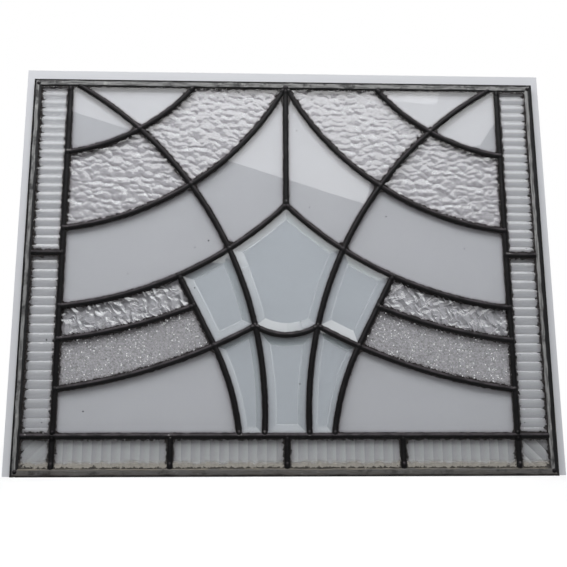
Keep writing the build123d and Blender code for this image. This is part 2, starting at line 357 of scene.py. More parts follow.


# Oxidised lead: nearly black, paler along the ridge and on the faces turned up and to the front, partly wear
# and partly a painted highlight, with a few chalky spots
def leadMaterial(name, spots=0.0):
    material, tree, output = newMaterial(name)
    place = objectPlace(tree)
    normal = surfaceNormal(tree)
    parts = partsOf(tree, normal)
    outward = addNode(tree, "ShaderNodeCombineXYZ",
                      {"X": parts["X"], "Y": mathNode(tree, "ABSOLUTE", parts["Y"]),
                       "Z": parts["Z"]}).outputs[0]
    # Painted highlight: faces turned towards the lit way, up and to the front, take the paler colour, broken up
    # by noise like wear
    upper = dotOf(tree, outward, leadLook["lit"])
    broad = noiseNode(tree, place, 60.0, 4.0)
    fine = noiseNode(tree, place, 520.0, 3.0, 0.6)
    wornAndLitRidge = times(tree, rampBetween(tree, upper, 0.84, 0.985),
                  rampBetween(tree, broad, 0.36, 0.66, 0.25, 1.0))
    colour = mixedColour(tree, wornAndLitRidge, leadLook["dark"], leadLook["wornAndLit"])
    chalky = times(tree, rampBetween(tree, noiseNode(tree, place, 34.0, 5.0, 0.7), 0.62, 0.78),
                   rampBetween(tree, fine, 0.45, 0.7))
    colour = mixedColour(tree, times(tree, chalky, 0.5), colour, leadLook["chalk"])
    if spots:
        # Pale spots of bare solder, only where the painted highlight is: partly bare metal, partly painted
        # glints
        bareGlints = rampBetween(tree, noiseNode(tree, place, 210.0, 3.0, 0.6), 0.54, 0.66)
        bareGlints = times(tree, bareGlints, wornAndLitRidge)
        colour = mixedColour(tree, times(tree, bareGlints, spots), colour, (0.34, 0.33, 0.32))
    rough = rampBetween(tree, broad, 0.3, 0.7, leadLook["roughness"] - 0.12, leadLook["roughness"] + 0.14)
    height = plus(tree, broad, times(tree, fine, 0.35))
    shader = addNode(tree, "ShaderNodeBsdfPrincipled",
                     {"Base Color": colour, "Roughness": rough, "Specular IOR Level": leadLook["gloss"],
                      "Normal": bumped(tree, height, 0.6, 0.0008)})
    tree.links.new(shader.outputs[0], output.inputs[0])
    return material


edgeLook = {
    "dark": (0.0085, 0.0085, 0.0095),
    "rubbed": (0.27, 0.27, 0.268),
    "pale": (0.42, 0.42, 0.41),
    "soil": (0.090, 0.083, 0.074),
    "line": (0.24, 0.215, 0.17),
    "band": {"start": 2.3, "end": 7.1, "soft": 0.7, "rightStart": 3.0, "rightEnd": 3.1, "footEnd": 2.2,
             "topEnd": 1.2, "rightPatch": 0.07, "patch": 0.045},
}


# The outer leads: a rubbed grey band between a dark outer edge and a dark line beside the glass, which is
# partly a dark gap and partly painted shade.
# The band is widest on the right, broken up on the left, and soiled along the foot.
def edgeMaterial(name):
    material, tree, output = newMaterial(name)
    place = objectPlace(tree)
    parts = partsOf(tree, place)
    fromSide = minus(tree, half * mm, mathNode(tree, "ABSOLUTE", parts["X"]))
    fromTop = minus(tree, layout["height"] * mm, parts["Z"])
    atTop = mathNode(tree, "LESS_THAN", fromTop, fromSide)
    atFoot = mathNode(tree, "LESS_THAN", parts["Z"], fromSide)
    level = mathNode(tree, "MAXIMUM", atTop, atFoot)
    atRight = times(tree, mathNode(tree, "GREATER_THAN", parts["X"], 0.0), minus(tree, 1.0, level))
    inward = mathNode(tree, "MINIMUM", mathNode(tree, "MINIMUM", fromSide, fromTop), parts["Z"])
    wander = timesPlus(tree, noiseNode(tree, place, 38.0, 4.0), 0.004, -0.002)
    inward = times(tree, plus(tree, inward, wander), 1000.0)
    broad = noiseNode(tree, place, 55.0, 5.0, 0.6)
    fine = noiseNode(tree, place, 600.0, 3.0, 0.6)
    along = addNode(tree, "ShaderNodeCombineXYZ",
                    {"X": times(tree, parts["X"], timesPlus(tree, level, -0.9, 1.0)), "Y": parts["Y"],
                     "Z": times(tree, parts["Z"], timesPlus(tree, level, 0.9, 0.1))}).outputs[0]
    streaks = noiseNode(tree, along, 420.0, 3.0, 0.6)
    band = edgeLook["band"]
    start = timesPlus(tree, atRight, band["rightStart"], band["start"])
    # Where the band stops short of the glass, the dark left beside the glass is partly painted shade
    end = timesPlus(tree, atRight, band["rightEnd"], band["end"])
    end = timesPlus(tree, atFoot, band["footEnd"], end)
    end = timesPlus(tree, atTop, band["topEnd"], end)
    within = times(tree, rampBetween(tree, minus(tree, inward, start), 0.0, band["soft"]),
                   rampBetween(tree, minus(tree, end, inward), 0.0, band["soft"]))
    patchy = timesPlus(tree, atRight, band["rightPatch"], broad)
    patchy = plus(tree, patchy, band["patch"])
    within = times(tree, within, rampBetween(tree, patchy, 0.37, 0.54, 0.15, 1.0))
    within = times(tree, within, rampBetween(tree, streaks, 0.40, 0.56, 0.45, 1.0))
    colour = mixedColour(tree, within, edgeLook["dark"], edgeLook["rubbed"])
    scuffs = rampBetween(tree, noiseNode(tree, place, 90.0, 5.0, 0.7), 0.58, 0.70)
    colour = mixedColour(tree, times(tree, scuffs, within), colour, edgeLook["pale"])
    soil = times(tree, atFoot, rampBetween(tree, broad, 0.25, 0.5, 0.45, 0.95))
    soil = times(tree, soil, rampBetween(tree, inward, 0.6, 2.6))
    soil = times(tree, soil, rampBetween(tree, streaks, 0.34, 0.60, 0.30, 1.0))
    colour = mixedColour(tree, soil, colour, edgeLook["soil"])
    line = times(tree, atFoot, rampBetween(tree, inward, 7.9, 8.8))
    line = times(tree, line, rampBetween(tree, streaks, 0.36, 0.6, 0.0, 0.75))
    colour = mixedColour(tree, line, colour, edgeLook["line"])
    height = plus(tree, broad, times(tree, fine, 0.3))
    height = plus(tree, height, times(tree, streaks, 0.5))
    shader = addNode(tree, "ShaderNodeBsdfPrincipled",
                     {"Base Color": colour, "Roughness": rampBetween(tree, broad, 0.3, 0.7, 0.42, 0.7),
                      "Specular IOR Level": 0.3, "Normal": bumped(tree, height, 0.8, 0.0012)})
    tree.links.new(shader.outputs[0], output.inputs[0])
    return material


# Old putty squeezed out beside the outer leads: grey brown, crumbly, darker in its hollows
def puttyMaterial(name):
    material, tree, output = newMaterial(name)
    place = objectPlace(tree)
    crumbs = noiseNode(tree, place, 380.0, 5.0, 0.7)
    stains = noiseNode(tree, place, 60.0, 4.0, 0.6)
    colour = mixedColour(tree, rampBetween(tree, stains, 0.35, 0.65), (0.055, 0.048, 0.040),
                         (0.20, 0.18, 0.15))
    colour = mixedColour(tree, rampBetween(tree, crumbs, 0.60, 0.42), colour, (0.012, 0.011, 0.010))
    shader = addNode(tree, "ShaderNodeBsdfPrincipled",
                     {"Base Color": colour, "Roughness": rampBetween(tree, crumbs, 0.3, 0.7, 0.8, 0.98),
                      "Normal": bumped(tree, crumbs, 0.9, 0.0012)})
    tree.links.new(shader.outputs[0], output.inputs[0])
    return material


# For glass with relief, lean is the way (x, z) a face turns to be painted lighter, as if lit from there, gain
# how soon it does, and low its darkest colour, a painted shade; gleam is a painted highlight on the brightest
# faces. Reach is how far soil and the painted shade beside the leads spread from them, in mm.
glassLook = {
    "clear": {"tint": (0.670, 0.674, 0.684), "roughness": 0.003, "shade": (0.842, 0.846, 0.852), "reach": 0.8},
    "bevelled": {"tint": (0.644, 0.668, 0.685), "roughness": 0.003, "shade": (0.83, 0.842, 0.852), "reach": 0.5,
                 "lean": (-0.45, -0.85), "gain": 3.2, "low": (0.280, 0.326, 0.317), "gleam": 0.60},
    "reeded": {"tint": (0.618, 0.624, 0.630), "roughness": 0.11, "shade": (0.83, 0.835, 0.838), "reach": 2.2,
               "lean": (0.55, 1.0), "gain": 1.4, "low": (0.36, 0.36, 0.365), "gleam": 0.0},
    "hammered": {"tint": (0.608, 0.601, 0.608), "roughness": 0.04, "shade": (0.89, 0.89, 0.895), "reach": 2.4,
                 "lean": (0.35, 1.0), "gain": 2.0, "low": (0.19, 0.18, 0.19), "gleam": 0.4},
    "leafPattern": {"tint": (0.54, 0.537, 0.545), "roughness": 0.03, "shade": (0.88, 0.88, 0.885), "reach": 2.0,
                    "lean": (0.6, 1.0), "gain": 1.1, "low": (0.11, 0.11, 0.115), "gleam": 0.55},
    "stippled": {"tint": (0.580, 0.573, 0.580), "roughness": 0.05, "shade": (0.86, 0.86, 0.86), "reach": 2.2,
                 "lean": (0.5, 1.0), "gain": 1.5, "low": (0.36, 0.36, 0.36), "gleam": 0.15, "sparkle": 480.0},
    "pale": (0.93, 0.95, 0.96),
    "dirt": (0.020, 0.016, 0.015),
    "leadShadowTint": (0.66, 0.62, 0.63),
    "bottomRowTone": (0.95, 0.95, 0.94),
    "specks": {"scale": 62.0, "share": 0.80, "size": (0.030, 0.062), "strength": (0.25, 0.95)},
    "creep": {"valley": 4.4, "all": 0.3, "from": (0.300, 0.306)},
    "creaseGleam": 0.09,
    "siltHeight": (0.0195, 0.0115),
    "silt": (0.41, 0.385, 0.34),
    "rowHeight": (0.043, 0.049),
    "gleamHeight": (0.075, 0.15),
}


# Glass with soil gathered beside the leads, painted shade next to them, painted light and shade on faces with
# relief, and a few specks; shadow rays pass through it
def glassMaterial(name, look):
    material, tree, output = newMaterial(name)
    place = objectPlace(tree)
    edge = attribute(tree, "edgeDistance")
    glass = addNode(tree, "ShaderNodeBsdfPrincipled",
                    {"Base Color": (*look["tint"], 1.0), "Roughness": look["roughness"], "IOR": 1.5,
                     "Transmission Weight": 1.0})
    body = glass.outputs[0]
    height = partsOf(tree, place)["Z"]
    colour = tuple(look["tint"])
    # Painted light and shade: faces turned along lean are painted towards white, faces turned away towards the
    # dark low colour
    if "lean" in look:
        lean = dotOf(tree, surfaceNormal(tree), (look["lean"][0], 0.0, look["lean"][1]))
        tone = timesPlus(tree, lean, look["gain"], 0.5)
        ramp = addNode(tree, "ShaderNodeValToRGB", {0: tone})
        stops = ramp.color_ramp.elements
        stops[0].color, stops[1].color = (*look["low"], 1.0), (1.0, 1.0, 1.0, 1.0)
        stops.new(0.5).color = (*look["tint"], 1.0)
        colour = ramp.outputs[0]
        # Painted highlight: a pale diffuse colour is mixed in on the faces turned most along lean
        if look["gleam"]:
            pale = addNode(tree, "ShaderNodeBsdfDiffuse", {"Color": (*glassLook["pale"], 1.0)})
            shine = times(tree, rampBetween(tree, tone, 0.70, 1.0), look["gleam"])
            # On the bevels the painted highlight fades lower down, a thin painted highlight runs along the
            # crease, and it is mostly taken off faces turned to the left low down
            if name.startswith("bevelled"):
                shine = times(tree, shine, rampBetween(tree, height, *glassLook["gleamHeight"], 0.2, 1.0))
                ground = attribute(tree, "ground")
                crease = times(tree, rampBetween(tree, ground, 0.88, 0.94),
                               mathNode(tree, "LESS_THAN", ground, 0.998))
                slant = partsOf(tree, surfaceNormal(tree))["X"]
                fading = times(tree, rampBetween(tree, slant, -0.085, -0.125),
                               rampBetween(tree, height, 0.275, 0.200, 0.0, 0.9))
                shine = times(tree, shine, minus(tree, 1.0, fading))
                shine = mathNode(tree, "MAXIMUM", shine, times(tree, crease, glassLook["creaseGleam"]))
            body = mixedShader(tree, shine, body, pale.outputs[0])
    # Painted shade: the glass is darkened in a soft band beside the leads, where their shadow falls
    clearOfLeadShadow = rampBetween(tree, edge, -0.5, 3.4 + look["reach"])
    colour = mixedColour(tree, clearOfLeadShadow, mixedColour(tree, 1.0, colour, glassLook["leadShadowTint"], "MULTIPLY"), colour)
    # The bottom row of panes is made a little darker
    bottomRowTone = rampBetween(tree, height, *glassLook["rowHeight"], 1.0, 0.0)
    colour = mixedColour(tree, bottomRowTone, colour,
                         mixedColour(tree, 1.0, colour, glassLook["bottomRowTone"], "MULTIPLY"))
    tree.links.new(colour, glass.inputs["Base Color"])
    # Painted glints: some grains of the stipple are painted pale, and others a little grey
    if "sparkle" in look:
        grains = addNode(tree, "ShaderNodeTexVoronoi", {"Vector": place, "Scale": look["sparkle"]}).outputs
        lucky = partsOf(tree, grains["Color"])
        bright = times(tree, rampBetween(tree, lucky["X"], 0.78, 0.97),
                       rampBetween(tree, grains["Distance"], 0.55, 0.2))
        dim = times(tree, rampBetween(tree, lucky["Y"], 0.45, 0.9), 0.16)
        pale = addNode(tree, "ShaderNodeBsdfDiffuse", {"Color": (0.93, 0.94, 0.95, 1.0)})
        grey = addNode(tree, "ShaderNodeBsdfDiffuse", {"Color": (0.12, 0.12, 0.12, 1.0)})
        body = mixedShader(tree, dim, body, grey.outputs[0])
        body = mixedShader(tree, bright, body, pale.outputs[0])
    uneven = timesPlus(tree, noiseNode(tree, place, 190.0, 5.0, 0.75), 6.0 * look["reach"],
                       -2.6 * look["reach"])
    if name.startswith("reeded"):  # soil creeps in along the valleys beside the outer leads
        reed = attribute(tree, "reed")
        offCentre = timesPlus(tree, mathNode(tree, "FRACT", reed), 2.0, -1.0)
        valley = mathNode(tree, "POWER", mathNode(tree, "ABSOLUTE", offCentre), 6.0)
        sideways = mathNode(tree, "ABSOLUTE", partsOf(tree, place)["X"])
        creep = timesPlus(tree, valley, glassLook["creep"]["valley"], glassLook["creep"]["all"])
        creep = times(tree, creep, rampBetween(tree, sideways, *glassLook["creep"]["from"]))
        uneven = plus(tree, uneven, creep)
    near = rampBetween(tree, minus(tree, edge, uneven), 0.35, 0.0)
    specks = glassLook["specks"]
    cells = addNode(tree, "ShaderNodeTexVoronoi", {"Vector": place, "Scale": specks["scale"]}).outputs
    chosen = partsOf(tree, cells["Color"])
    dotSize = rampBetween(tree, chosen["Y"], 0.0, 1.0, *specks["size"])
    dots = times(tree, mathNode(tree, "LESS_THAN", cells["Distance"], dotSize),
                 mathNode(tree, "GREATER_THAN", chosen["X"], specks["share"]))
    dots = times(tree, dots, rampBetween(tree, chosen["Z"], 0.0, 1.0, *specks["strength"]))
    soil = mathNode(tree, "MAXIMUM", times(tree, near, 0.85), dots)
    dirt = addNode(tree, "ShaderNodeBsdfPrincipled",
                   {"Base Color": (*glassLook["dirt"], 1.0), "Roughness": 0.9})
    silted = timesPlus(tree, noiseNode(tree, place, 70.0, 5.0, 0.65), 0.012, -0.006)
    silted = rampBetween(tree, plus(tree, height, silted), *glassLook["siltHeight"], 0.0, 0.8)
    silt = addNode(tree, "ShaderNodeBsdfPrincipled",
                   {"Base Color": (*glassLook["silt"], 1.0), "Roughness": 0.95})
    body = mixedShader(tree, silted, body, silt.outputs[0])
    dirty = addNode(tree, "ShaderNodeMixShader", {0: soil, 1: body, 2: dirt.outputs[0]})
    through = addNode(tree, "ShaderNodeBsdfTransparent", {0: (*look["shade"], 1.0)})
    shadowRay = addNode(tree, "ShaderNodeLightPath").outputs["Is Shadow Ray"]
    lit = addNode(tree, "ShaderNodeMixShader", {0: shadowRay, 1: dirty.outputs[0], 2: through.outputs[0]})
    tree.links.new(lit.outputs[0], output.inputs[0])
    return material


materials = {
    "lead": leadMaterial("oxidisedLead"),
    "solder": leadMaterial("dulledSolder", 0.75),
    "edgeLead": edgeMaterial("rubbedEdgeLead"),
    "putty": puttyMaterial("oldPutty"),
    "clear": glassMaterial("clearGlass", glassLook["clear"]),
    "bevelled": glassMaterial("bevelledGlass", glassLook["bevelled"]),
    "reeded": glassMaterial("reededGlass", glassLook["reeded"]),
    "hammered": glassMaterial("hammeredGlass", glassLook["hammered"]),
    "leafPattern": glassMaterial("leafPatternGlass", glassLook["leafPattern"]),
    "stippled": glassMaterial("stippledGlass", glassLook["stippled"]),
}


# Lead cames are swept along their lines
cameShape = {
    "width": layout["cameWidth"] - 0.2, "heart": 1.4, "face": 3.2, "lip": 1.95, "under": 1.64, "crown": 2.2,
    "wobble": 0.6, "uneven": 0.14, "lumps": 0.35, "waves": 0.0, "spacing": 2.0, "seed": 3, "stop": 3.6,
}
edgeShape = {
    "width": layout["edgeWidth"] - 1.2, "heart": 1.6, "face": 3.15, "lip": 2.2, "under": 1.64, "crown": 4.0,
    "wobble": 0.0, "uneven": 0.0, "lumps": 0.5, "waves": 0.9, "spacing": 2.0, "seed": 8,
}


def cameProfile(shape):  # an H whose two leaves are crowned
    across = np.linspace(-1, 1, 11)
    crown = shape["lip"] + (shape["face"] - shape["lip"]) * (1 - np.abs(across) ** shape["crown"])
    leafX = across * shape["width"] / 2
    heart = shape["heart"] / 2
    front = [(x, y) for x, y in zip(leafX, crown)]
    inner = [(shape["width"] / 2, shape["under"]), (heart, shape["under"] + 0.15)]
    right = inner + [(x, -y) for x, y in reversed(inner)]
    back = [(x, -y) for x, y in zip(leafX[::-1], crown[::-1])]
    left = [(-x, -y) for x, y in right]
    return np.array(front + right + back + left) * mm


def makeCameTree():
    tree, source, output = geometryTree("sweptCame",
                                        [("Profile", "Object"), ("Spacing", "Float"), ("Wobble", "Float"),
                                         ("Uneven", "Float"), ("Lumps", "Float"), ("Waves", "Float"),
                                         ("Seed", "Float"), ("Material", "Material")])
    given = source.outputs
    line = addNode(tree, "GeometryNodeMeshToCurve", {"Mesh": given["Geometry"]}).outputs[0]
    line = addNode(tree, "GeometryNodeResampleCurve", {"Curve": line, "Length": given["Spacing"]},
                   mode="LENGTH").outputs[0]
    line = addNode(tree, "GeometryNodeSetCurveNormal", {"Curve": line}, mode="Z_UP").outputs[0]
    place = addNode(tree, "GeometryNodeInputPosition").outputs[0]
    drift = seededNoise(tree, place, given["Seed"], 14.0, 2.0)
    away = vectorMath(tree, "SUBTRACT", drift["Color"], (0.5, 0.5, 0.5))
    flat = vectorMath(tree, "MULTIPLY", away, (1.0, 1.0, 0.0))
    shift = scaled(tree, flat, given["Wobble"])
    line = moved(tree, line, shift)
    girth = seededNoise(tree, place, given["Seed"], 75.0, 3.0)["Fac"]
    girth = times(tree, minus(tree, girth, 0.5), given["Uneven"])
    girth = plus(tree, girth, 1.0)
    line = addNode(tree, "GeometryNodeSetCurveRadius", {"Curve": line, "Radius": girth}).outputs[0]
    outline = addNode(tree, "GeometryNodeObjectInfo", {"Object": given["Profile"]}).outputs["Geometry"]
    outline = addNode(tree, "GeometryNodeMeshToCurve", {"Mesh": outline}).outputs[0]
    sweep = addNode(tree, "GeometryNodeCurveToMesh",
                    {"Curve": line, "Profile Curve": outline, "Fill Caps": True})
    if "Scale" in sweep.inputs:
        tree.links.new(girth, sweep.inputs["Scale"])
    lump = seededNoise(tree, place, given["Seed"], 110.0, 3.0)["Fac"]
    lump = times(tree, lump, given["Lumps"])
    inward = scaled(tree, addNode(tree, "GeometryNodeInputNormal").outputs[0], lump)
    wave = seededNoise(tree, place, given["Seed"], 48.0, 2.0)["Fac"]
    wave = times(tree, rampBetween(tree, wave, 0.42, 0.68), given["Waves"])
    flatNormal = vectorMath(tree, "MULTIPLY", addNode(tree, "GeometryNodeInputNormal").outputs[0],
                            (1.0, 1.0, 0.0))
    waving = scaled(tree, flatNormal, wave)
    inward = vectorMath(tree, "ADD", inward, waving)
    bar = moved(tree, sweep.outputs[0], inward)
    bar = addNode(tree, "GeometryNodeTransform",
                  {"Geometry": bar, "Rotation": (math.pi / 2, 0.0, 0.0)}).outputs[0]
    finishTree(tree, output, bar, given["Material"])
    return tree


# A lead that runs into an outer lead stops under its leaf
def stopped(line, stop):
    low, high = edgeLine + stop, np.array([edgeX - stop, topZ - stop])
    inside = (np.abs(line[:, 0]) <= high[0]) & (line[:, 1] >= low) & (line[:, 1] <= high[1])
    kept = np.flatnonzero(inside)
    first, last = kept[0], kept[-1]
    line = line[max(first - 1, 0):last + 2].copy()
    for end, inner in ((0, 1), (-1, -2)):
        reach = line[end]
        share = 1.0
        for axis, lowest, highest in ((0, -high[0], high[0]), (1, low, high[1])):
            for limit, over in ((lowest, reach[axis] < lowest), (highest, reach[axis] > highest)):
                if over:
                    share = min(share, (limit - line[inner][axis]) / (reach[axis] - line[inner][axis]))
        line[end] = line[inner] + (reach - line[inner]) * share
    return line


def lineMesh(name, lines):
    points, edges = [], []
    for line in lines:
        base = len(points)
        points += [(x * mm, z * mm, 0.0) for x, z in line]
        edges += [(base + i, base + i + 1) for i in range(len(line) - 1)]
    return plainMesh(name, points, edges)


cameTree = makeCameTree()


def sweptCames(name, names, shape, material, slotName, nodes):
    outline = cameProfile(shape)
    ring = [(i, (i + 1) % len(outline)) for i in range(len(outline))]
    profile = plainMesh(name + "Profile", [(x, y, 0.0) for x, y in outline], ring)
    profile = showObject(name + "Profile", profile)
    if "stop" in shape:
        lines = [stopped(leads[n], shape["stop"]) for n in names]
    else:  # an outer lead, flush with the outside of the panel
        shift = (layout["edgeWidth"] - shape["width"]) / 2
        middle, reach = (0, layout["height"] / 2), (half - 8, layout["height"] / 2 - 8)
        lines = [leads[n] + (np.abs(leads[n] - middle) > reach) * np.sign(leads[n] - middle) * shift
                 for n in names]
        lines = [np.clip(line, (-half, 0.4), (half, layout["height"] - 0.4)) for line in lines]
    piece = grown(name, lineMesh(name + "Lines", lines), cameTree, {
        "Profile": profile, "Spacing": shape["spacing"] * mm, "Wobble": shape["wobble"] * mm,
        "Uneven": shape["uneven"], "Lumps": shape["lumps"] * mm,
        "Waves": shape["waves"] * mm, "Seed": float(shape["seed"]), "Material": material})
    bpy.data.objects.remove(profile)
    settle(piece, slotName, *nodes)
    return piece


def bothSides(*names):
    return [name + side for name in names for side in ("", "Left")]


cameSets = {
    "longRibLeads": (bothSides("longRib"), ["long_rib_came_right", "long_rib_came_left"]),
    "shortRibLeads": (bothSides("shortRib"), ["short_rib_cames"]),
    "topSweepLeads": (bothSides("topSweep"), ["top_sweep_cames"]),
    "upperSweepLeads": (bothSides("upperSweep"), ["upper_sweep_cames"]),
    "middleSweepLeads": (bothSides("middleSweep"), ["middle_sweep_cames"]),
    "bandSweepLeads": (bothSides("bandSweep"), ["band_sweep_cames"]),
    "lowerSweepLeads": (bothSides("lowerSweep"), ["lower_sweep_cames"]),
    "bowlLead": (["bowl"], ["bowl_came"]),
    "centreLead": (["centre"], ["centre_came"]),
    "borderLeads": (["borderFoot"] + bothSides("borderSide"),
                    ["border_came_bottom", "border_came_left", "border_came_right"]),
    "dividerLeads": (bothSides("sideDivider", "cornerDivider", "rowDivider") + ["middleDivider"],
                     ["side_divider_cames", "bottom_divider_cames"]),
}
for name, (names, nodes) in cameSets.items():
    sweptCames(name, names, cameShape, materials["lead"], "lead", nodes)
sweptCames("edgeLeads", ["edgeTop", "edgeBottom"] + bothSides("edgeRight"), edgeShape, materials["edgeLead"],
           "edge_lead", ["edge_came_top", "edge_came_bottom", "edge_came_left", "edge_came_right"])
print("leads swept")


# A solder joint has one stretched lump along each lead that meets there
solderShape = {"along": 6.0, "across": 3.7, "corner": 4.2, "height": 3.72, "rough": 0.8, "inset": 3.2,
               "edgeInset": 8.0, "seed": 11}


def headingAt(line, point):
    near = np.linalg.norm(line - point, axis=1).argmin()
    a, b = line[max(near - 1, 0)], line[min(near + 1, len(line) - 1)]
    return math.atan2(b[1] - a[1], b[0] - a[0])


def jointList():
    found = []
    names = [n for n in leads if not n.endswith("Left")]
    for i, first in enumerate(names):
        for second in names[i + 1:]:
            gaps = np.linalg.norm(leads[first][:, None] - leads[second][None], axis=2)
            if gaps.min() < layout["step"] * 0.8:
                if first.startswith("edge") and second.startswith("edge"):
                    point = np.array([edgeX, topZ if "edgeTop" in (first, second) else edgeLine])
                else:
                    point = crossing(leads[first], leads[second])
                if np.linalg.norm(point - leads[second], axis=1).min() < 8:
                    found.append((point, first, second))
    return found


def makeSolderTree():
    tree, source, output = geometryTree("solderLumps",
                                        [("Height", "Float"), ("Rough", "Float"), ("Seed", "Float"),
                                         ("Material", "Material")])
    given = source.outputs
    ball = addNode(tree, "GeometryNodeMeshUVSphere",
                   {"Segments": 24, "Rings": 14, "Radius": 1.0}).outputs[0]
    angle = named(tree, "heading")
    along = named(tree, "along")
    across = named(tree, "across")
    turn = addNode(tree, "ShaderNodeCombineXYZ", {"Y": times(tree, angle, -1.0)}).outputs[0]
    size = addNode(tree, "ShaderNodeCombineXYZ", {"X": along, "Y": given["Height"], "Z": across}).outputs[0]
    lumps = addNode(tree, "GeometryNodeInstanceOnPoints",
                    {"Points": given["Geometry"], "Instance": ball, "Rotation": turn,
                     "Scale": size}).outputs[0]
    lumps = addNode(tree, "GeometryNodeRealizeInstances", {"Geometry": lumps}).outputs[0]
    place = addNode(tree, "GeometryNodeInputPosition").outputs[0]
    drift = seededNoise(tree, place, given["Seed"], 160.0, 2.0)["Color"]
    drift = vectorMath(tree, "SUBTRACT", drift, (0.5, 0.5, 0.5))
    drift = vectorMath(tree, "MULTIPLY", drift, (1.0, 0.0, 1.0))
    drift = scaled(tree, drift, given["Rough"])
    lumps = moved(tree, lumps, drift)
    finishTree(tree, output, lumps, given["Material"])
    return tree


spots = []  # x, z, heading, length and width
for point, first, second in jointList():
    for lineName in (first, second):
        if lineName.startswith("edge"):
            continue
        line = leads[lineName]
        heading = headingAt(line, point)
        spot = np.array(point, float)
        for end, inner in ((line[0], line[3]), (line[-1], line[-4])):
            if np.linalg.norm(end - point) < 6:  # a lead that ends here carries its solder on its own side
                other = second if lineName == first else first
                back = solderShape["edgeInset" if other.startswith("edge") else "inset"]
                spot = point + (inner - end) / np.linalg.norm(inner - end) * back
        for side in ((1, -1) if abs(spot[0]) > 1 else (1,)):
            spots.append((side * spot[0], spot[1], heading if side > 0 else math.pi - heading,
                          solderShape["along"], solderShape["across"]))
for x, z in ((edgeX, topZ), (-edgeX, topZ), (edgeX, edgeLine), (-edgeX, edgeLine)):
    spots.append((x * 0.9985, z + (0.6 if z < 100 else -0.6), 0.0,
                  solderShape["corner"], solderShape["corner"]))
spotX, spotZ, heading, along, across = np.array(spots).T
spotMesh = plainMesh("solderSpots", np.stack([spotX, spotX * 0, spotZ], 1) * mm, values={
    "heading": heading, "along": along * mm, "across": across * mm})
solder = grown("solderJoints", spotMesh, makeSolderTree(), {
    "Height": solderShape["height"] * mm, "Rough": solderShape["rough"] * mm,
    "Seed": float(solderShape["seed"]), "Material": materials["solder"]})
settle(solder, "solder", "solder_joints_front", "solder_joints_back")
print("solder joints:", len(spots))


# For a pane a grid is cut along the leads around it, then given a front and a back
paneShape = {
    "thickness": 3.2, "inset": 1.1, "edgeInset": 1.2, "visible": 3.3, "edgeVisible": 4.3,
    "plate": 5.0, "bevelEdge": 3.0, "bevelWidth": 13.0, "reedPitch": 11.3, "reedHeight": 1.0,
}


def sideDistance(points, line, seed):  # distance from a lead line, positive on the seed's side
    ends = np.vstack([line[0] + (line[0] - line[1]) * 400, line, line[-1] + (line[-1] - line[-2]) * 400])
    starts, runs = ends[:-1], np.diff(ends, axis=0)
    lengths = (runs ** 2).sum(1)

    def signedGap(chosen):
        offset = chosen[:, None] - starts[None]
        share = np.clip((offset * runs).sum(2) / lengths, 0, 1)
        gap = offset - share[..., None] * runs
        size = (gap ** 2).sum(2)
        best = size.argmin(1)
        rows = np.arange(len(chosen))
        cross = runs[best, 0] * offset[rows, best, 1] - runs[best, 1] * offset[rows, best, 0]
        return np.sqrt(size[rows, best]) * np.sign(cross)

    gaps = np.concatenate([signedGap(points[i:i + 3000]) for i in range(0, len(points), 3000)])
    return gaps * np.sign(signedGap(np.array([seed], float)))[0]


# Splits the triangles that a value changes sign on, so that an edge lies along its zero line
def splitAlong(points, triangles, value):
    value = np.where(np.abs(value) < 1e-4, 0.0, value)
    signs = np.sign(value)[triangles]
    crossed = (signs.min(1) < 0) & (signs.max(1) > 0)
    extra, made, cuts = [], [], {}

    def cutPoint(a, b):
        key = (min(a, b), max(a, b))
        if key not in cuts:
            share = value[a] / (value[a] - value[b])
            cuts[key] = len(points) + len(extra)
            extra.append(points[a] + share * (points[b] - points[a]))
        return cuts[key]

    for triangle, sign in zip(triangles[crossed].tolist(), signs[crossed].tolist()):
        if 0 in sign:
            turn = sign.index(0)
            a, b, c = triangle[turn:] + triangle[:turn]
            middle = cutPoint(b, c)
            made += [(a, b, middle), (a, middle, c)]
        else:
            turn = next(i for i in range(3) if sign[i] != sign[i - 1] and sign[i] != sign[(i + 1) % 3])
            a, b, c = triangle[turn:] + triangle[:turn]
            first, last = cutPoint(a, b), cutPoint(a, c)
            made += [(a, first, last), (first, b, c), (first, c, last)]
    if made:
        points = np.vstack([points, extra])
        triangles = np.vstack([triangles[~crossed], made])
        value = np.concatenate([value, np.zeros(len(extra))])
    return points, triangles, value


def keepInside(points, triangles, value):
    points, triangles, value = splitAlong(points, triangles, value)
    triangles = triangles[value[triangles].sum(1) > 0]
    used = np.unique(triangles)
    order = np.full(len(points), -1)
    order[used] = np.arange(len(used))
    return points[used], order[triangles]


def gridBetween(low, high, stepX, stepZ):
    countX = max(2, math.ceil((high[0] - low[0]) / stepX) + 1)
    countZ = max(2, math.ceil((high[1] - low[1]) / stepZ) + 1)
    x, z = np.meshgrid(np.linspace(low[0], high[0], countX), np.linspace(low[1], high[1], countZ))
    corner = (np.arange(countZ - 1)[:, None] * countX + np.arange(countX - 1)).ravel()
    lower = np.stack([corner, corner + 1, corner + countX + 1], 1)
    upper = np.stack([corner, corner + countX + 1, corner + countX], 1)
    return np.stack([x.ravel(), z.ravel()], 1), np.vstack([lower, upper])


def insetOf(name, visible=False):
    key = "visible" if visible else "inset"
    return paneShape["edge" + key.capitalize() if name.startswith("edge") else key]


def trimmed(points, triangles, seed, sides):
    for side in sides:
        gap = sideDistance(points, leads[side], seed) - insetOf(side)
        points, triangles = keepInside(points, triangles, gap)
    return points, triangles


def paneOutline(seed, sides, stepX, stepZ):  # a coarse cut first, to find how far the pane reaches
    points, triangles = trimmed(*gridBetween((-half, 0), (half, layout["height"]), 20, 20), seed, sides)
    return trimmed(*gridBetween(points.min(0), points.max(0), stepX, stepZ), seed, sides)


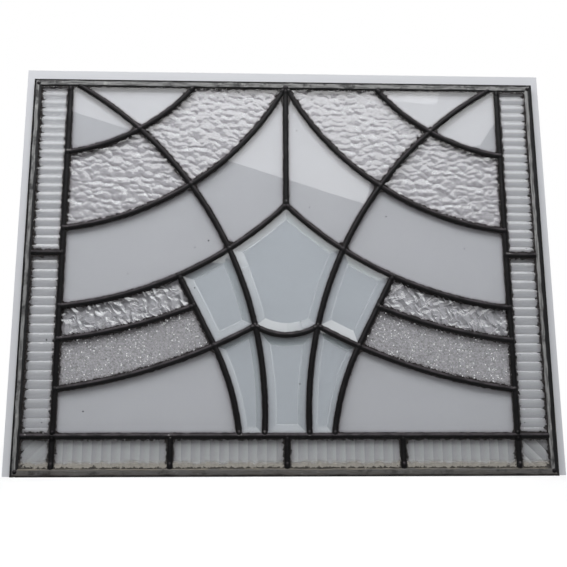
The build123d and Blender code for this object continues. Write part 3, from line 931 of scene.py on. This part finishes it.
def closedPane(name, points, triangles, front, values):
    count = len(points)
    edges = np.vstack([triangles[:, [0, 1]], triangles[:, [1, 2]], triangles[:, [2, 0]]])
    known = set(map(tuple, edges.tolist()))
    rim = [(b, a, a + count, b + count) for a, b in known if (b, a) not in known]
    back = np.full(count, paneShape["thickness"] / 2)
    solid = np.vstack([np.stack([points[:, 0], -front, points[:, 1]], 1),
                       np.stack([points[:, 0], back, points[:, 1]], 1)])
    faces = triangles.tolist() + (triangles[:, ::-1] + count).tolist() + rim
    doubled = {label: np.concatenate([data, data]) for label, data in values.items()}
    doubled["front"] = np.concatenate([np.ones(count), np.zeros(count)])
    return plainMesh(name, solid * mm, faces=faces, values=doubled)


def edgeDistances(points, sides, seed):
    return np.min([sideDistance(points, leads[side], seed) - insetOf(side, True) for side in sides], axis=0)


def flatPane(seed, sides):
    points, triangles = paneOutline(seed, sides, 6, 6)
    return points, triangles, np.full(len(points), paneShape["thickness"] / 2), {}


def bevelledPane(seed, sides, bevel):
    points, triangles = paneOutline(seed, sides, 8, 8)

    def gaps(places):
        return [sideDistance(places, leads[side], seed) - insetOf(side) for side in sides]

    for i in range(len(sides)):
        points, triangles, _ = splitAlong(points, triangles, gaps(points)[i] - bevel)
        for j in range(i):
            found = gaps(points)
            points, triangles, _ = splitAlong(points, triangles, found[i] - found[j])
    ground = np.clip(np.min(gaps(points), axis=0) / bevel, 0, 1)
    edge = paneShape["bevelEdge"] - paneShape["thickness"] / 2
    top = paneShape["plate"] - paneShape["thickness"] / 2
    return points, triangles, edge + (top - edge) * ground, {"ground": ground}


def reededPane(seed, sides, heading):
    across = np.array([-math.sin(heading), math.cos(heading)])
    slanted = abs(across[0] * across[1]) > 0.01
    steps = (0.8, 0.8) if slanted else ((5.0, 0.7) if abs(across[1]) > 0.5 else (0.7, 5.0))
    points, triangles = paneOutline(seed, sides, *steps)
    middle = (points.min(0) + points.max(0)) / 2
    count = math.ceil(np.linalg.norm(points.max(0) - points.min(0)) / paneShape["reedPitch"])
    for valley in range(-count, count + 1):
        reed = (points - middle) @ across - valley * paneShape["reedPitch"]
        points, triangles, _ = splitAlong(points, triangles, reed)
    reed = (points - middle) @ across / paneShape["reedPitch"]
    base = np.full(len(points), paneShape["thickness"] / 2 - paneShape["reedHeight"])
    return points, triangles, base, {"reed": reed}


def texturedPane(seed, sides, step):
    points, triangles = paneOutline(seed, sides, step, step)
    return points, triangles, np.full(len(points), paneShape["thickness"] / 2), {}


# Raises the front of a pane: every tree has the same inputs, and its own pattern
def reliefTree(name, pattern):
    tree, source, output = geometryTree(name,
                                        [("Depth", "Float"), ("Scale", "Float"), ("Seed", "Float"),
                                         ("Material", "Material")])
    given = source.outputs
    place = addNode(tree, "GeometryNodeInputPosition").outputs[0]
    front = named(tree, "front")
    height = pattern(tree, place, given["Scale"], given["Seed"])
    push = times(tree, times(tree, height, given["Depth"]), front)
    offset = addNode(tree, "ShaderNodeCombineXYZ", {"Y": times(tree, push, -1.0)}).outputs[0]
    raised = moved(tree, given["Geometry"], offset)
    finishTree(tree, output, raised, given["Material"])
    return tree


def flatPattern(tree, place, scale, seed):  # plain sheet has no relief
    return times(tree, scale, 0.0)


def reedPattern(tree, place, scale, seed):
    reed = named(tree, "reed")
    offCentre = timesPlus(tree, mathNode(tree, "FRACT", reed), 2.0, -1.0)
    return minus(tree, 1.0, mathNode(tree, "POWER", mathNode(tree, "ABSOLUTE", offCentre), 2.0))


def warped(tree, place, seed, scale, amount):
    swirl = seededNoise(tree, place, seed, scale, 1.0)["Color"]
    swirl = scaled(tree, swirl, amount)
    return vectorMath(tree, "ADD", place, swirl)


def hammeredPattern(tree, place, scale, seed):  # flattened domes with creases between them
    place = warped(tree, place, seed, 70.0, 0.012)
    place = vectorMath(tree, "MULTIPLY", place, (1.0, 1.0, 1.6))
    cells = addNode(tree, "ShaderNodeTexVoronoi", {"Vector": place, "Scale": scale, "Smoothness": 0.25},
                    feature="SMOOTH_F1").outputs["Distance"]
    return times(tree, mathNode(tree, "POWER", cells, 1.5), -1.0)


def leafPattern(tree, place, scale, seed):  # pointed stars, turned this way and that by the warp
    place = warped(tree, place, seed, 55.0, 0.022)
    place = addNode(tree, "ShaderNodeVectorRotate", {"Vector": place, "Angle": 0.6},
                    rotation_type="Y_AXIS").outputs[0]
    cells = addNode(tree, "ShaderNodeTexVoronoi", {"Vector": place, "Scale": scale, "Randomness": 0.9},
                    distance="MINKOWSKI")
    cells.inputs["Exponent"].default_value = 0.7
    return times(tree, cells.outputs["Distance"], -0.7)


def stipplePattern(tree, place, scale, seed):
    cells = addNode(tree, "ShaderNodeTexVoronoi", {"Vector": place, "Scale": scale, "Smoothness": 0.4},
                    feature="SMOOTH_F1").outputs["Distance"]
    return times(tree, cells, -1.0)


plainTree = reliefTree("plainSheet", flatPattern)
reliefs = {
    "clear": {"tree": plainTree, "depth": 0.0, "scale": 1.0},
    "bevelled": {"tree": plainTree, "depth": 0.0, "scale": 1.0, "crease": 2.5},
    "reeded": {"tree": reliefTree("reeds", reedPattern), "depth": paneShape["reedHeight"], "scale": 1.0},
    "hammered": {"tree": reliefTree("hammered", hammeredPattern), "depth": 1.5, "scale": 92.0},
    "leafPattern": {"tree": reliefTree("leafCreases", leafPattern), "depth": 2.2, "scale": 88.0},
    "stippled": {"tree": reliefTree("stipple", stipplePattern), "depth": 0.3, "scale": 420.0},
}
slotNames = {
    "clear": "clear_glass", "bevelled": "bevelled_glass", "reeded": "reeded_glass",
    "hammered": "hammered_glass", "leafPattern": "leaf_pattern_glass", "stippled": "stippled_glass",
}


def makePane(name, kind, cut, node, mirror=False):
    points, triangles, front, values = [], [], [], {}
    for seed, sides, shaped in cut:
        p, t, f, v = shaped(seed, sides)
        values.setdefault("edgeDistance", []).append(edgeDistances(p, sides, seed))
        for label, data in v.items():
            values.setdefault(label, []).append(data)
        triangles.append(t + sum(len(q) for q in points))
        points.append(p)
        front.append(f)
    points, triangles, front = np.vstack(points), np.vstack(triangles), np.concatenate(front)
    values = {label: np.concatenate(data) for label, data in values.items()}
    if mirror:
        points, triangles = points * (-1, 1), triangles[:, ::-1]
    relief = reliefs[kind]
    pane = grown(name, closedPane(name, points, triangles, front, values), relief["tree"],
                 {"Depth": relief["depth"] * mm, "Scale": relief["scale"], "Seed": 5.0,
                  "Material": materials[kind]}, relief.get("crease", 30))
    settle(pane, slotNames[kind], node)
    return pane


# Right-hand panes: kind, a point inside, the leads around it
panes = {
    "topCornerPane": ("clear", (190, 480), ("topSweep", "longRib", "edgeTop"), "top_corner_panes"),
    "sideCornerPane": ("clear", (262, 440), ("topSweep", "borderSide", "edgeTop", "longRib"),
                       "side_corner_panes"),
    "hammeredPaneInner": ("hammered", (90, 465), ("edgeTop", "topSweep", "longRib", "upperSweep"),
                          "inner_hammered_panes"),
    "hammeredPaneOuter": ("hammered", (240, 365), ("topSweep", "borderSide", "upperSweep", "longRib"),
                          "outer_hammered_panes"),
    "wingPane": ("clear", (230, 270), ("upperSweep", "borderSide", "middleSweep", "longRib"), "wing_panes"),
    "kitePane": ("clear", (40, 390), ("upperSweep", "longRib", "middleSweep", "centre"), "kite_panes"),
    "leafPatternPane": ("leafPattern", (220, 195), ("middleSweep", "borderSide", "bandSweep", "shortRib"),
                        "leaf_pattern_panes"),
    "stippledPane": ("stippled", (220, 145), ("bandSweep", "borderSide", "lowerSweep", "shortRib"),
                     "stippled_panes"),
    "footPane": ("clear", (200, 75), ("lowerSweep", "borderSide", "borderFoot", "shortRib"), "foot_panes"),
}
fineSteps = {"hammered": 0.9, "leafPattern": 0.7, "stippled": 0.6}
for name, (kind, seed, sides, node) in panes.items():
    if kind == "clear":
        shaped = flatPane
    else:
        shaped = lambda s, around, step=fineSteps[kind]: texturedPane(s, around, step)
    makePane(name + "Right", kind, [(seed, sides, shaped)], node)
    makePane(name + "Left", kind, [(seed, sides, shaped)], node, True)
print("sheet panes cut")

bevel = paneShape["bevelWidth"]
sliverBevel = 0.35 * (layout["shortRib"]["foot"] - layout["longRib"]["foot"] - 2 * paneShape["inset"])
plates = {
    "shieldPane": ((0, 250), ("middleSweep", "middleSweepLeft", "longRib", "longRibLeft", "bowl"), bevel,
                   "shield_pane"),
    "bevelledFootPane": ((0, 110), ("bowl", "longRib", "longRibLeft", "borderFoot"), bevel,
                         "bevelled_foot_pane"),
    "bevelledSidePanes": ((90, 215), ("middleSweep", "shortRib", "lowerSweep", "longRib"), bevel,
                          "bevelled_side_panes"),
    "bevelledSliverPanes": ((62, 110), ("lowerSweep", "shortRib", "borderFoot", "longRib"), sliverBevel,
                            "bevelled_sliver_panes"),
}
for name, (seed, sides, width, node) in plates.items():
    cut = [(seed, sides, lambda s, around, width=width: bevelledPane(s, around, width))]
    if "Panes" in name:
        makePane(name + "Right", "bevelled", cut, node)
        makePane(name + "Left", "bevelled", cut, node, True)
    else:
        makePane(name, "bevelled", cut, node)
print("plates ground")

levelReeds = lambda s, around: reededPane(s, around, 0.0)
uprightReeds = lambda s, around: reededPane(s, around, math.pi / 2)
slantReeds = lambda s, around: reededPane(s, around, -math.pi / 4)
stripX, rowZ = (borderX + edgeX) / 2, (edgeLine + footZ) / 2
strips = [((stripX, 150), ("borderSide", "edgeRight", "borderFoot", "sideDivider"), levelReeds),
          ((stripX, 400), ("borderSide", "edgeRight", "sideDivider", "edgeTop"), levelReeds)]
row = [((70, rowZ), ("edgeBottom", "borderFoot", "middleDivider", "rowDivider"), uprightReeds),
       ((200, rowZ), ("edgeBottom", "borderFoot", "rowDivider", "cornerDivider"), uprightReeds)]
corner = [((stripX, rowZ), ("edgeBottom", "borderFoot", "cornerDivider", "edgeRight"), slantReeds)]
for side, mirror in (("Right", False), ("Left", True)):
    makePane("sideStripPanes" + side, "reeded", strips, "side_strip_panes", mirror)
    makePane("bottomRowPanes" + side, "reeded", row, "bottom_row_panes", mirror)
    makePane("cornerPane" + side, "reeded", corner, "corner_panes", mirror)
print("reeded panes rolled")

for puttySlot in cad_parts["edge_putty"].material_slots:
    puttySlot.material = materials["putty"]


# Board, floor, light and camera
stageLook = {"board": (0.745, 0.755, 0.785), "floor": (0.45, 0.45, 0.45), "floorGlow": 0.55,
             "floorReach": (0.5, 1.3), "floorBounce": (0.35, 0.35, 0.35),
             "boardY": 5.0, "boardSize": (672.0, 515.0), "cardY": -1.5, "cardGlow": 3.9,
             "around": 0.34, "mirrored": 0.22}


def stageSheet(name, corners, material):
    sheet = showObject(name, plainMesh(name, corners, faces=[(0, 1, 2, 3)]))
    sheet.data.materials.append(material)
    return sheet


# One for rays that come from the camera straight, mirrored or through glass, nought once light has scattered
def straightRay(tree, mirrored=True):
    path = addNode(tree, "ShaderNodeLightPath").outputs
    seen = mathNode(tree, "MAXIMUM", path["Is Camera Ray"], path["Is Transmission Ray"])
    if mirrored:
        seen = mathNode(tree, "MAXIMUM", seen, path["Is Glossy Ray"])
    return times(tree, seen, mathNode(tree, "LESS_THAN", path["Diffuse Depth"], 0.5))


# The board only shows from the front, so that the back of the panel can be seen
def boardMaterial():
    material, tree, output = newMaterial("paleBoard")
    place = objectPlace(tree)
    tone = mixedColour(tree, noiseNode(tree, place, 4.0, 4.0), stageLook["board"],
                       tuple(c * 0.96 for c in stageLook["board"]))
    face = addNode(tree, "ShaderNodeBsdfDiffuse", {"Color": tone})
    clear = addNode(tree, "ShaderNodeBsdfTransparent")
    behind = addNode(tree, "ShaderNodeNewGeometry").outputs["Backfacing"]
    shown = times(tree, straightRay(tree), minus(tree, 1.0, behind))
    mixed = addNode(tree, "ShaderNodeMixShader", {0: shown, 1: clear.outputs[0], 2: face.outputs[0]})
    tree.links.new(mixed.outputs[0], output.inputs[0])
    return material


# The floor takes a faint shadow near the panel and goes over to plain white further out
def floorMaterial():
    material, tree, output = newMaterial("paleFloor")
    face = addNode(tree, "ShaderNodeBsdfDiffuse", {"Color": (*stageLook["floor"], 1.0)})
    glow = addNode(tree, "ShaderNodeEmission", {"Strength": stageLook["floorGlow"]})
    near = addNode(tree, "ShaderNodeAddShader", {0: face.outputs[0], 1: glow.outputs[0]})
    away = addNode(tree, "ShaderNodeVectorMath", {0: objectPlace(tree)},
                   operation="LENGTH").outputs["Value"]
    far = addNode(tree, "ShaderNodeEmission", {"Strength": 1.0})
    white = addNode(tree, "ShaderNodeMixShader",
                    {0: rampBetween(tree, away, *stageLook["floorReach"]), 1: near.outputs[0],
                     2: far.outputs[0]})
    bounce = addNode(tree, "ShaderNodeBsdfDiffuse", {"Color": (*stageLook["floorBounce"], 1.0)})
    mixed = addNode(tree, "ShaderNodeMixShader",
                    {0: straightRay(tree, False), 1: bounce.outputs[0], 2: white.outputs[0]})
    tree.links.new(mixed.outputs[0], output.inputs[0])
    return material


# A pale card in front, which only shows as a reflection in the glass: its lower edge is the slanting line there
def cardMaterial():
    material, tree, output = newMaterial("paleCard")
    glow = addNode(tree, "ShaderNodeEmission", {"Strength": stageLook["cardGlow"]})
    tree.links.new(glow.outputs[0], output.inputs[0])
    return material


boardX, boardZ = stageLook["boardSize"][0] / 2 * mm, stageLook["boardSize"][1] * mm
boardY = stageLook["boardY"] * mm
stageSheet("backBoard", [(-boardX, boardY, 0.0), (boardX, boardY, 0.0), (boardX, boardY, boardZ),
                         (-boardX, boardY, boardZ)], boardMaterial())
stageSheet("floorSheet", [(-4, -4, 0), (4, -4, 0), (4, 4, 0), (-4, 4, 0)], floorMaterial())

cardCorners = [(-2.0, 1.557), (0.362, 0.797), (0.40, 0.93), (0.55, 0.96), (0.78, 1.02), (0.85, 1.12),
               (1.2, 1.12), (1.2, 2.2), (-2.0, 2.2)]
card = showObject("skyCard", plainMesh("skyCard", [(x, stageLook["cardY"], z) for x, z in cardCorners],
                                       faces=[range(len(cardCorners))]))
card.data.materials.append(cardMaterial())
card.visible_camera = card.visible_diffuse = card.visible_shadow = card.visible_transmission = False

world = bpy.data.worlds.new("studio")
scene.world = world
world.use_nodes = True
worldTree = world.node_tree
worldTree.nodes.clear()
ray = addNode(worldTree, "ShaderNodeLightPath").outputs
plain = straightRay(worldTree, False)
white = addNode(worldTree, "ShaderNodeBackground", {"Color": (1, 1, 1, 1), "Strength": 1.0})
soft = addNode(worldTree, "ShaderNodeBackground",
               {"Color": (0.95, 0.97, 1.0, 1), "Strength": stageLook["around"]})
dim = addNode(worldTree, "ShaderNodeBackground", {"Color": (1, 1, 1, 1), "Strength": stageLook["mirrored"]})
low = addNode(worldTree, "ShaderNodeMixShader",
              {0: ray["Is Glossy Ray"], 1: soft.outputs[0], 2: dim.outputs[0]})
both = addNode(worldTree, "ShaderNodeMixShader", {0: plain, 1: low.outputs[0], 2: white.outputs[0]})
addNode(worldTree, "ShaderNodeOutputWorld", {0: both.outputs[0]})

lamps = {
    "topLight": {"place": (-0.20, -1.05, 1.45), "target": (0, 0, 0.32), "size": (1.8, 0.8), "power": 22.0},
    "backLight": {"place": (0.4, 1.6, 1.4), "target": (0, 0, 0.25), "size": (1.6, 1.2), "power": 20.0},
}
for name, lamp in lamps.items():
    light = bpy.data.lights.new(name, "AREA")
    light.shape, light.size, light.size_y, light.energy = "RECTANGLE", *lamp["size"], lamp["power"]
    holder = bpy.data.objects.new(name, light)
    holder.location = lamp["place"]
    holder.rotation_euler = (Vector(lamp["target"]) - Vector(lamp["place"])).to_track_quat("-Z", "Y").to_euler()
    holder.visible_camera = holder.visible_glossy = False
    scene.collection.objects.link(holder)

view = {"place": (-0.0478, -0.8537, 0.0721), "turn": (100.465, 0.035, -1.724), "lens": 44.444,
        "shift": (0.0261, 0.003)}
lens = bpy.data.cameras.new("photoView")
lens.lens, lens.sensor_width = view["lens"], 36.0
lens.shift_x, lens.shift_y = view["shift"]
camera = bpy.data.objects.new("photoView", lens)
camera.location = view["place"]
camera.rotation_euler = [math.radians(a) for a in view["turn"]]
scene.collection.objects.link(camera)
scene.camera = camera
scene.view_settings.view_transform = "Standard"

print("stage, lights and camera ready")
